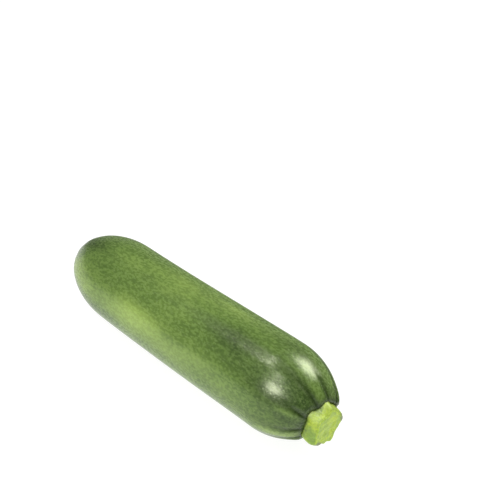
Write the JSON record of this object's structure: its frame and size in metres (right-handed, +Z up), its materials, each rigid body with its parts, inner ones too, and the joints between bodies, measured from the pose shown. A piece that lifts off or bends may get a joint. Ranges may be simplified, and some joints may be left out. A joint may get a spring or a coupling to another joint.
{
  "type": "zucchini",
  "caption": "Picked zucchini lying down: blunt, gently bowed fruit with shallow grooves running to a short, ridged, square-cut stem; a natural prop that rests on any surface.",
  "frame": {"origin": "centre of the bounding box at its bottom, on the surface that the zucchini lies on", "axes": "+X along the fruit towards the stem's cut end, +Z up, +Y across the fruit"},
  "size_m": [0.1982, 0.0508, 0.0504],
  "materials": {
    "skin": "satin",
    "cut_stem": "matte"
  },
  "bodies": {
    "root": {"fruit": "skin", "stem": "cut_stem"}
  },
  "joints": []
}
